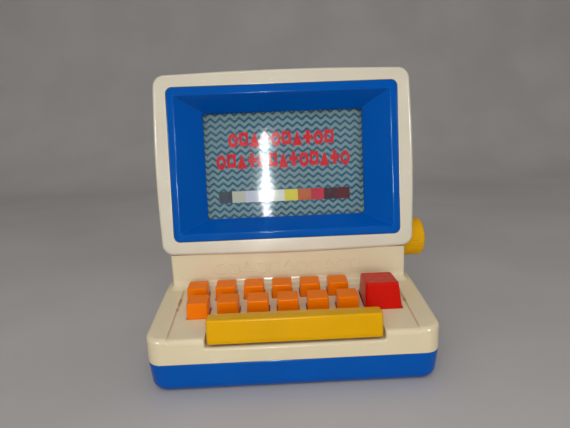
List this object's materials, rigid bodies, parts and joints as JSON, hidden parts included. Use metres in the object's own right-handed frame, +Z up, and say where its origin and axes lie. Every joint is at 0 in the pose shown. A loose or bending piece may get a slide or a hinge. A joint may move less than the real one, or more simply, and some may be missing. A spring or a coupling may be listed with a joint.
{
  "type": "toy desk computer",
  "caption": "Child's toy desk computer: tilted picture screen on a sloping keyboard base, sprung keys, wide bar key and a side knob that scrolls the picture belt.",
  "frame": {"origin": "middle of the base tray's flat underside, on the surface that the toy stands on", "axes": "+X to the right as the child sees it, towards the knob; +Y away from the child; +Z up"},
  "size_m": [0.2565, 0.1506, 0.2587],
  "materials": {
    "blue_plastic": "gloss, moulded",
    "cream_plastic": "satin, moulded, lightly yellowed",
    "orange_plastic": "satin, moulded",
    "red_plastic": "gloss, moulded",
    "yellow_plastic": "satin, moulded",
    "grey_plastic": "matte, moulded",
    "white_plastic": "matte, moulded",
    "clear_sheet": "clear plastic sheet with fine horizontal ribs",
    "printed_belt": "printed plastic film",
    "steel_wire": "spring steel wire",
    "steel_screw": "zinc plated"
  },
  "bodies": {
    "casing": {"base_tray": "blue_plastic", "keyboard_deck": "cream_plastic", "rear_cover": "cream_plastic", "monitor_frame": "cream_plastic", "screen_surround": "blue_plastic", "screen_window": "clear_sheet", "picture_belt": "printed_belt", "belt_platen": "white_plastic", "roller_bracket_left": "grey_plastic", "roller_bracket_right": "grey_plastic", "key_guide_plate": "grey_plastic", "bracket_screw_1": "steel_screw", "bracket_screw_2": "steel_screw", "bracket_screw_3": "steel_screw", "bracket_screw_4": "steel_screw", "guide_screw_1": "steel_screw", "guide_screw_2": "steel_screw", "guide_screw_3": "steel_screw", "guide_screw_4": "steel_screw", "case_screw_1": "steel_screw", "case_screw_2": "steel_screw", "case_screw_3": "steel_screw", "case_screw_4": "steel_screw", "cover_screw_1": "steel_screw", "cover_screw_2": "steel_screw", "key_spring_front_1": "steel_wire", "key_spring_front_2": "steel_wire", "key_spring_front_3": "steel_wire", "key_spring_front_4": "steel_wire", "key_spring_front_5": "steel_wire", "key_spring_front_6": "steel_wire", "key_spring_back_1": "steel_wire", "key_spring_back_2": "steel_wire", "key_spring_back_3": "steel_wire", "key_spring_back_4": "steel_wire", "key_spring_back_5": "steel_wire", "key_spring_back_6": "steel_wire", "enter_spring": "steel_wire", "bar_spring_1": "steel_wire", "bar_spring_2": "steel_wire"},
    "knob_and_drive_roller": {"turning_knob": "yellow_plastic", "lower_roller": "white_plastic"},
    "idle_roller": {"upper_roller": "white_plastic"},
    "enter_key": {"enter_key": "red_plastic"},
    "space_bar": {"space_bar": "yellow_plastic"},
    "key_front_1": {"key_front_1": "orange_plastic"},
    "key_front_2": {"key_front_2": "orange_plastic"},
    "key_front_3": {"key_front_3": "orange_plastic"},
    "key_front_4": {"key_front_4": "orange_plastic"},
    "key_front_5": {"key_front_5": "orange_plastic"},
    "key_front_6": {"key_front_6": "orange_plastic"},
    "key_back_1": {"key_back_1": "orange_plastic"},
    "key_back_2": {"key_back_2": "orange_plastic"},
    "key_back_3": {"key_back_3": "orange_plastic"},
    "key_back_4": {"key_back_4": "orange_plastic"},
    "key_back_5": {"key_back_5": "orange_plastic"},
    "key_back_6": {"key_back_6": "orange_plastic"}
  },
  "joints": [
    {"name": "knob_turn", "type": "hinge", "parent": "casing", "child": "knob_and_drive_roller", "pos_m": [0, 0.03701, 0.09314], "axis": [1, 0, 0], "continuous": true},
    {"name": "idle_roller_turn", "type": "hinge", "parent": "casing", "child": "idle_roller", "pos_m": [0, 0.05502, 0.23712], "axis": [1, 0, 0], "continuous": true},
    {"name": "key_front_1_press", "type": "slide", "parent": "casing", "child": "key_front_1", "axis": [0, 0, -1], "range_m": [0, 0.004], "stiffness_N_per_m": 150, "springref_m": -0.004, "deforming": ["key_spring_front_1"]},
    {"name": "key_front_2_press", "type": "slide", "parent": "casing", "child": "key_front_2", "axis": [0, 0, -1], "range_m": [0, 0.004], "stiffness_N_per_m": 150, "springref_m": -0.004, "deforming": ["key_spring_front_2"]},
    {"name": "key_front_3_press", "type": "slide", "parent": "casing", "child": "key_front_3", "axis": [0, 0, -1], "range_m": [0, 0.004], "stiffness_N_per_m": 150, "springref_m": -0.004, "deforming": ["key_spring_front_3"]},
    {"name": "key_front_4_press", "type": "slide", "parent": "casing", "child": "key_front_4", "axis": [0, 0, -1], "range_m": [0, 0.004], "stiffness_N_per_m": 150, "springref_m": -0.004, "deforming": ["key_spring_front_4"]},
    {"name": "key_front_5_press", "type": "slide", "parent": "casing", "child": "key_front_5", "axis": [0, 0, -1], "range_m": [0, 0.004], "stiffness_N_per_m": 150, "springref_m": -0.004, "deforming": ["key_spring_front_5"]},
    {"name": "key_front_6_press", "type": "slide", "parent": "casing", "child": "key_front_6", "axis": [0, 0, -1], "range_m": [0, 0.004], "stiffness_N_per_m": 150, "springref_m": -0.004, "deforming": ["key_spring_front_6"]},
    {"name": "key_back_1_press", "type": "slide", "parent": "casing", "child": "key_back_1", "axis": [0, 0, -1], "range_m": [0, 0.004], "stiffness_N_per_m": 150, "springref_m": -0.004, "deforming": ["key_spring_back_1"]},
    {"name": "key_back_2_press", "type": "slide", "parent": "casing", "child": "key_back_2", "axis": [0, 0, -1], "range_m": [0, 0.004], "stiffness_N_per_m": 150, "springref_m": -0.004, "deforming": ["key_spring_back_2"]},
    {"name": "key_back_3_press", "type": "slide", "parent": "casing", "child": "key_back_3", "axis": [0, 0, -1], "range_m": [0, 0.004], "stiffness_N_per_m": 150, "springref_m": -0.004, "deforming": ["key_spring_back_3"]},
    {"name": "key_back_4_press", "type": "slide", "parent": "casing", "child": "key_back_4", "axis": [0, 0, -1], "range_m": [0, 0.004], "stiffness_N_per_m": 150, "springref_m": -0.004, "deforming": ["key_spring_back_4"]},
    {"name": "key_back_5_press", "type": "slide", "parent": "casing", "child": "key_back_5", "axis": [0, 0, -1], "range_m": [0, 0.004], "stiffness_N_per_m": 150, "springref_m": -0.004, "deforming": ["key_spring_back_5"]},
    {"name": "key_back_6_press", "type": "slide", "parent": "casing", "child": "key_back_6", "axis": [0, 0, -1], "range_m": [0, 0.004], "stiffness_N_per_m": 150, "springref_m": -0.004, "deforming": ["key_spring_back_6"]},
    {"name": "enter_key_press", "type": "slide", "parent": "casing", "child": "enter_key", "axis": [0, 0, -1], "range_m": [0, 0.006], "stiffness_N_per_m": 200, "springref_m": -0.004, "deforming": ["enter_spring"]},
    {"name": "space_bar_press", "type": "slide", "parent": "casing", "child": "space_bar", "axis": [0, 0, -1], "range_m": [0, 0.0022], "stiffness_N_per_m": 400, "springref_m": -0.003, "deforming": ["bar_spring_1", "bar_spring_2"]}
  ],
  "couplings": [
    {"joint": "idle_roller_turn", "follows": "knob_turn", "ratio": 1}
  ]
}
